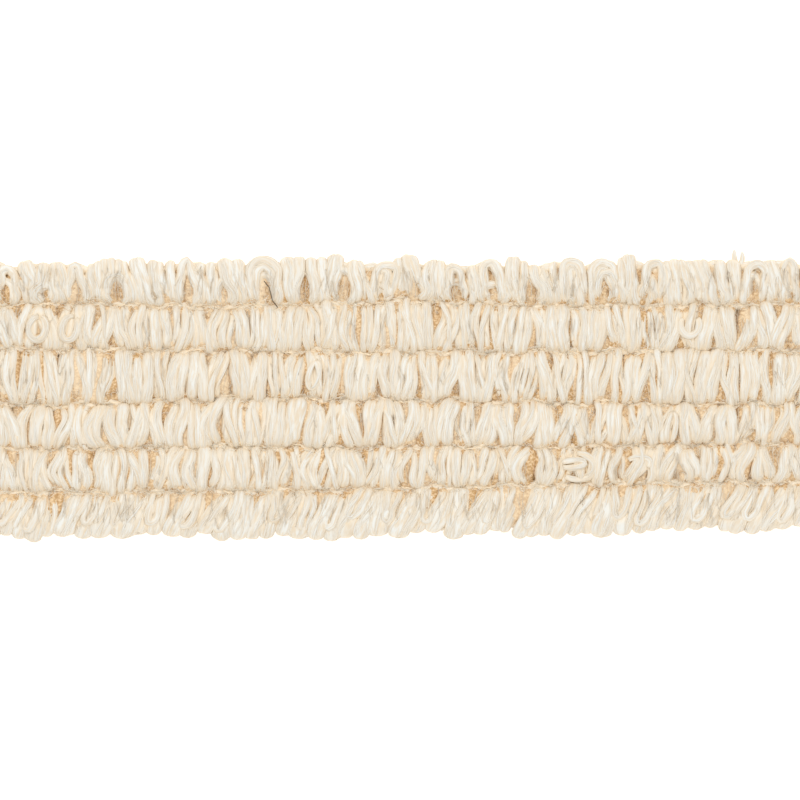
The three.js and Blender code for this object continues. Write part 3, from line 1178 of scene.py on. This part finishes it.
# A head is made of bundles. One wider than WITH_ARCH also has a small arch on top, and single
# turns lie over them all.
SLANT = (2.5, 6.5)
BUNDLE_WIDTH = 4.5
BUNDLE_SLANT_SPREAD = 0.5
BUNDLE_CREST = (-0.7, 0.3)
HEAD_LOWER = 0.2
HEAD_ROUNDNESS = 1.3
WITH_ARCH = 6
ARCH_LEG = (1.3, 2.2)
ARCH_REACH = (8.5, 11)
ARCH_WIDTH = (1.8, 2.4)
ARCH_STRAY = 1.5
SINGLE_SPACING = 4
SINGLE_PLACE = (-0.5, 0.5)
SINGLE_SLANT_SPREAD = 1.2
SINGLE_SHORT = (1.0, 4.0)
SINGLE_WIDTH = (1.4, 2.4)
ON_TOP = 0.4
HEADS_PAST_GROUND = 2.0
UNDER_SLANT = 4


def bottom_row(rng):
    """The yarns of the bottom row: its slanted heads and the yarns under them."""

    def groove(x):
        return line_y("groove_5", x)

    def edge(x):
        return line_y("bottom_edge", x)

    def under_edge(x):
        return edge(x) + HEADS_PAST_GROUND

    def aside(x, u):
        return pushed(x, u, gaps) - UNDER_SLANT * u

    gaps = charted_gaps(SLIT_HELD, SLIT_SHIFT, SLITS)
    tubes = []
    for first, last, furthest in heads_along(HEAD_WIDTHS, HEAD_REACHES):
        slant = rng.uniform(*SLANT)
        crest = EDGE_CREST - HEAD_LOWER + rng.uniform(*LOOP_CREST)
        bundles = max(1, round((last - first) / BUNDLE_WIDTH))
        wide = (last - first) / bundles
        for bundle in range(bundles):
            x = first + wide * (bundle + 0.5) + HEAD_SHIFT * slant
            place = 2 * (bundle + 0.5) / bundles - 1
            lean = rng.normal(-slant, BUNDLE_SLANT_SPREAD)
            tubes += standing_turn(
                groove, edge, x, lean, furthest - HEAD_ROUNDNESS * place ** 2, OVERLAP * wide,
                gaps, crest + rng.uniform(*BUNDLE_CREST), rng,
            )
        middle = (first + last) / 2 + HEAD_SHIFT * slant
        if last - first > WITH_ARCH:
            leg = rng.uniform(*ARCH_LEG)
            x = middle + rng.normal(0, ARCH_STRAY)
            reach = rng.uniform(*ARCH_REACH)
            width = rng.uniform(*ARCH_WIDTH)
            tubes += arched_turn(
                groove, edge, x, leg, reach, -slant, crest + ON_TOP, width, gaps, rng
            )
        for _ in range(round((last - first) / SINGLE_SPACING)):
            x = middle + rng.uniform(*SINGLE_PLACE) * (last - first)
            lean = rng.normal(-slant, SINGLE_SLANT_SPREAD)
            reach = furthest - rng.uniform(*SINGLE_SHORT)
            width = rng.uniform(*SINGLE_WIDTH)
            tubes += standing_turn(
                groove, edge, x, lean, reach, width, gaps, crest + ON_TOP, rng
            )
    tubes += under_yarns(groove, under_edge, EDGE_CREST, EDGE_HEIGHT, OVER_THE_EDGE, aside, rng)
    tubes.append(turned_back("groove_5", -1, rng))
    return tubes


mesh = lay_tubes("loop_row_6", bottom_row(np.random.default_rng(6)))
finish_piece("looped_row_6", mesh, IVORY_YARN, "loops", "loop_row_6")

# Binding threads
# A fine two-ply tan thread is stitched along each of the five grooves. It runs over the ends
# of the loops and holds them down on the ground tape.
PLY_WIDTH = 0.5
PLY_TWIST = 3.2
PLY_SIDES = 5
THREAD_STEPS = 300
THREAD_HEIGHT = 4.6
THREAD_TAN = (0.95, 0.83, 0.64, 1)
THREAD_TAN_DARK = (0.88, 0.70, 0.47, 1)

# How the thread wavers sideways, and up and down: how far, and in how long a wave
SIDEWAYS_WAVES = ((0.22, 2.1), (0.18, 5.3))
UPRIGHT_WAVES = ((0.2, 1.9), (0.15, 4.1))


def tan_thread():
    material, shader = start_material("tan_stitching_thread", roughness=0.8)
    streaks, number = fibre_pattern(material, around=8.0, along=0.8)
    colour = mix_colours(material, streaks, THREAD_TAN_DARK, THREAD_TAN)
    colour = mix_colours(material, number, colour, THREAD_TAN)
    material.node_tree.links.new(colour, shader.inputs["Base Color"])
    add_bump(material, shader, streaks, strength=0.5, distance=0.1 * MM)
    return material


# No thread and no fibre runs this way, so a direction across it can be worked out from this one.
NEARLY_UP = (0.1, 0.2, 1.0)


def round_tube(sides, path, width):
    """A tube as thick as it is wide, for threads and single fibres."""
    forward = unit(np.gradient(path, axis=0))
    across = unit(np.cross(NEARLY_UP, forward))
    half = np.full(len(path), width / 2)
    return Tube(sides, path, across, np.cross(forward, across), half, half, 0 * half)


def wavered(line, x, waves, ways):
    """The line with waves added, each of which starts at its own place."""
    for (far, long), way in zip(waves, ways):
        line = line + far * np.sin(x / long + way)
    return line


def binding_thread(groove, rng):
    """The two plies of one thread, wound round each other."""
    x = np.linspace(-CUT_END, CUT_END, THREAD_STEPS)
    ways = rng.uniform(*WAVE_STARTS, len(SIDEWAYS_WAVES) + len(UPRIGHT_WAVES))
    y = wavered(line_y(groove, x), x, SIDEWAYS_WAVES, ways[:2])
    z = wavered(np.full_like(x, THREAD_HEIGHT), x, UPRIGHT_WAVES, ways[2:])
    tubes = []
    for ply in range(2):
        wind = 2 * math.pi * x / PLY_TWIST + math.pi * ply
        shifts = PLY_WIDTH / 2 * np.stack([0 * x, np.cos(wind), np.sin(wind)], axis=1)
        tubes.append(round_tube(PLY_SIDES, np.stack([x, y, z], axis=1) + shifts, PLY_WIDTH))
    return tubes


TAN_THREAD = tan_thread()
for number in range(1, 6):
    node = f"binding_thread_{number}"
    tubes = binding_thread(f"groove_{number}", np.random.default_rng(20 + number))
    finish_piece(f"stitched_thread_{number}", lay_tubes(node, tubes), TAN_THREAD, "thread", node)

# Loose fibres
# Jute is hairy. Fine curled fibres, pale and brown, stand off the binding threads and fill the
# grooves, the gaps between the bundles and the holes of the top row with a tan fuzz.
FIBRE_WIDTH = 0.12
FIBRE_STEPS = 5
FIBRE_SIDES = 3
FIBRE_CURL = 1.1
FIBRE_THINNESS = (0.7, 1.2)
PALE_FIBRE = (0.98, 0.92, 0.80, 1)
BROWN_FIBRE = (0.58, 0.36, 0.15, 1)
OVER_THE_BACKS = 0.7


def fibre_fuzz(name, brown_share):
    material, shader = start_material(name, roughness=0.8)
    _, number = fibre_pattern(material, around=1.0, along=1.0)
    pale = ramp(material, number, low=0.5 * brown_share, high=1.5 * brown_share)
    colour = mix_colours(material, pale, BROWN_FIBRE, PALE_FIBRE)
    material.node_tree.links.new(colour, shader.inputs["Base Color"])
    return material


def over_groove(off):
    """How high the backs of the rows are, this far from a groove."""
    side = 1 - np.clip(2 * np.abs(off) / EDGE_ROW_WIDTH, 0, 1)
    return HELD_HEIGHT + OVER_THE_BACKS + EDGE_CREST * arched_back(side)


def curled_fibre(x, y, length, rng):
    """X and Y along a fine fibre that curls."""
    share = np.linspace(0, 1, FIBRE_STEPS)
    turn = rng.uniform(0, 2 * math.pi) + rng.normal(0, FIBRE_CURL) * share * math.pi
    step = length / (FIBRE_STEPS - 1)
    along = np.cumsum(np.cos(turn)) * step
    across = np.cumsum(np.sin(turn)) * step
    return x + along - along.mean(), y + across - across.mean()


def lay_fibre(x, y, z, rng):
    path = np.stack([x, y, z], axis=1)
    return round_tube(FIBRE_SIDES, path, FIBRE_WIDTH * rng.uniform(*FIBRE_THINNESS))


# How many fibres lie in the grooves, how far off their lines, and how much they are flattened
GROOVE_FIBRES = 3400
GROOVE_SPREAD = 0.9
GROOVE_FLATTER = 0.75
GROOVE_FIBRE_LENGTHS = (1.5, 4)
GROOVE_FIBRE_LIFT = (-0.2, 0.4)
GROOVE_INSET = 3


def groove_fibres(rng):
    """Fibres all along the grooves, flattened a little towards each groove's line."""
    tubes = []
    for _ in range(GROOVE_FIBRES):
        groove = f"groove_{rng.integers(1, 6)}"
        x = rng.uniform(-CUT_END + GROOVE_INSET, CUT_END - GROOVE_INSET)
        off = rng.normal(0, GROOVE_SPREAD)
        x, off = curled_fibre(x, off, rng.uniform(*GROOVE_FIBRE_LENGTHS), rng)
        off = GROOVE_FLATTER * off
        z = over_groove(off) + rng.uniform(*GROOVE_FIBRE_LIFT)
        tubes.append(lay_fibre(x, line_y(groove, x) + off, z, rng))
    return lay_tubes("groove_fibres", tubes)


# How many fibres lie in a gap for each millimetre that it is wide, and between which distances
# from the groove they lie in a gap of a middle row and in a hole of the top row
GAP_FIBRES = 7
GAP_FUZZ = (0.6, 3.6)
HOLE_FUZZ = (1.0, 6.5)
GAP_SPREAD = (-0.4, 0.4)
GAP_FIBRE_LENGTHS = (0.8, 2.5)
GAP_FIBRE_LIFT = (-0.2, 0.8)
FIBRE_INSET = 5


def gap_fibres(rng):
    holes = charted_gaps(HOLE_HELD, HOLE_SHIFT, HOLE_WIDTHS)
    gaps = [(x, "groove_1", *HOLE_FUZZ, width) for x, width in zip(holes.places, holes.widths)]
    for row in MIDDLE_ROWS:
        for side, groove, found in zip((-1, 1), (row["above"], row["below"]), row_gaps(row)):
            first, last = sorted((side * GAP_FUZZ[0], side * GAP_FUZZ[1]))
            gaps += [(x, groove, first, last, w) for x, w in zip(found.places, found.widths)]
    tubes = []
    for middle, groove, first, last, width in gaps:
        if abs(middle) > CUT_END - FIBRE_INSET:
            continue
        for _ in range(round(GAP_FIBRES * width)):
            y = float(line_y(groove, middle)) + rng.uniform(first, last)
            x = middle + rng.uniform(*GAP_SPREAD) * width
            x, y = curled_fibre(x, y, rng.uniform(*GAP_FIBRE_LENGTHS), rng)
            z = over_groove(y - line_y(groove, x)) - UNDER_DEPTH
            tubes.append(lay_fibre(x, y, z + rng.uniform(*GAP_FIBRE_LIFT), rng))
    return lay_tubes("gap_fibres", tubes)


for name, lay_all, seed, brown_share in (
    ("groove_fibres", groove_fibres, 40, 0.06),
    ("gap_fibres", gap_fibres, 42, 0.55),
):
    mesh = lay_all(np.random.default_rng(seed))
    finish_piece(name, mesh, fibre_fuzz(f"{name}_jute", brown_share), "thread")


# An ivory fibre lies somewhere on the way across its row, between these shares of it. It leans and
# sways by so much, give or take.
IVORY_FIBRES = 2000
IVORY_FIBRE_WIDTH = 0.16
IVORY_FIBRE_THINNESS = (0.6, 1.2)
IVORY_FIBRE_STEPS = 6
IVORY_FIBRE_SHARES = (0.03, 0.97)
IVORY_FIBRE_LEAN = 2.2
IVORY_FIBRE_SWAY = 0.6
IVORY_FIBRE_SWAY_PACE = 6


def ivory_fibres(rng):
    """Fine fibres that have come out of the yarn and lie over the backs of the rows."""
    rows = [(row["below"], row["above"], row["crest"], None) for row in MIDDLE_ROWS]
    rows.append(("groove_1", "top_edge", EDGE_CREST, OVER_THE_EDGE))
    rows.append(("groove_5", "bottom_edge", EDGE_CREST, OVER_THE_EDGE))
    tubes = []
    for number in range(IVORY_FIBRES):
        start, end, crest, droop = rows[number % len(rows)]
        first, last = np.sort(rng.uniform(*IVORY_FIBRE_SHARES, 2))
        u = np.linspace(first, last, IVORY_FIBRE_STEPS)
        x = rng.uniform(-CUT_END + FIBRE_INSET, CUT_END - FIBRE_INSET)
        lean = rng.normal(0, IVORY_FIBRE_LEAN) * (u - first)
        wave = np.sin(IVORY_FIBRE_SWAY_PACE * (u - first))
        sway = lean + rng.normal(0, IVORY_FIBRE_SWAY) * wave
        path, _ = over_row(
            line_y(start, x), line_y(end, x), x + sway, u, crest + OVER_THE_BACKS, HELD_HEIGHT,
            droop,
        )
        width = IVORY_FIBRE_WIDTH * rng.uniform(*IVORY_FIBRE_THINNESS)
        tubes.append(round_tube(FIBRE_SIDES, path, width))
    return lay_tubes("ivory_fibres", tubes)


finish_piece("ivory_fibres", ivory_fibres(np.random.default_rng(41)), IVORY_YARN, "loops")

# One dark hair lies across a broad loop of the top row, bent a little.
DARK_HAIR = (0.10, 0.06, 0.03, 1)
HAIR_ENDS = ((-38.2, 32.6), (-34.4, 25.2))
HAIR_WIDTH = 0.3
HAIR_BEND = 0.5
HAIR_LIFT = 0.8


def dark_hair():
    share = np.linspace(0, 1, FIBRE_STEPS)
    (first_x, first_y), (last_x, last_y) = HAIR_ENDS
    x = first_x + (last_x - first_x) * share + HAIR_BEND * np.sin(2 * np.pi * share)
    y = first_y + (last_y - first_y) * share
    z = over_groove(y - line_y("groove_1", x)) + HAIR_LIFT
    path = np.stack([x, y, z], axis=1)
    return lay_tubes("dark_hair", [round_tube(FIBRE_SIDES, path, HAIR_WIDTH)])


hair_brown, shader = start_material("dark_hair", roughness=0.6)
shader.inputs["Base Color"].default_value = DARK_HAIR
finish_piece("dark_hair", dark_hair(), hair_brown, "thread")

# Table, light and camera
# The tape lies on a plain white table in soft light from all round, a little stronger from
# beyond its top edge, and is seen from straight above.
PIXEL = 0.2815 * MM
IMAGE_SIDE = 800
LENS = 200.0
SENSOR = 36.0
TAPE_MIDDLE_PIXEL = 396.95
FOCUS_HEIGHT = 6 * MM
TABLE_SIDE = 6
TABLE_UNDER_TAPE = 0.1 * MM
TABLE_WHITE = (0.95, 0.95, 0.95, 1)
TABLE_GLOW = 0.35
PLAIN_WHITE = (1, 1, 1, 1)
ROOM_LIGHT = 0.92

bpy.ops.mesh.primitive_plane_add(size=TABLE_SIDE, location=(0, 0, -TABLE_UNDER_TAPE))
table = bpy.context.object
table.name = "table"
white, shader = start_material("white_table", roughness=0.9)
shader.inputs["Base Color"].default_value = TABLE_WHITE
shader.inputs["Emission Color"].default_value = PLAIN_WHITE
shader.inputs["Emission Strength"].default_value = TABLE_GLOW
table.data.materials.append(white)

world = bpy.data.worlds.new("soft_room")
world.use_nodes = True
world.node_tree.nodes["Background"].inputs["Color"].default_value = PLAIN_WHITE
world.node_tree.nodes["Background"].inputs["Strength"].default_value = ROOM_LIGHT
bpy.context.scene.world = world


def soft_light(name, place, size, power):
    light = bpy.data.lights.new(name, "AREA")
    light.shape = "DISK"
    light.size = size
    light.energy = power
    lamp = bpy.data.objects.new(name, light)
    bpy.context.scene.collection.objects.link(lamp)
    lamp.location = place
    away = math.hypot(place[0], place[1])
    lamp.rotation_euler = (math.atan2(away, place[2]), 0, math.atan2(place[0], -place[1]))


soft_light("main_light", place=(-0.3, 1.0, 1.6), size=1.2, power=10)
soft_light("fill_light", place=(0.5, -1.1, 1.5), size=1.2, power=4)

camera = bpy.data.cameras.new("camera")
camera.lens = LENS
camera.sensor_width = SENSOR
camera_object = bpy.data.objects.new("camera", camera)
bpy.context.scene.collection.objects.link(camera_object)
distance = IMAGE_SIDE * PIXEL * LENS / SENSOR
middle_offset = (TAPE_MIDDLE_PIXEL - IMAGE_SIDE / 2) * PIXEL
camera_object.location = (0, middle_offset, FOCUS_HEIGHT + distance)
bpy.context.scene.camera = camera_object
bpy.context.scene.view_settings.view_transform = "Standard"
bpy.context.scene.cycles.use_denoising = True
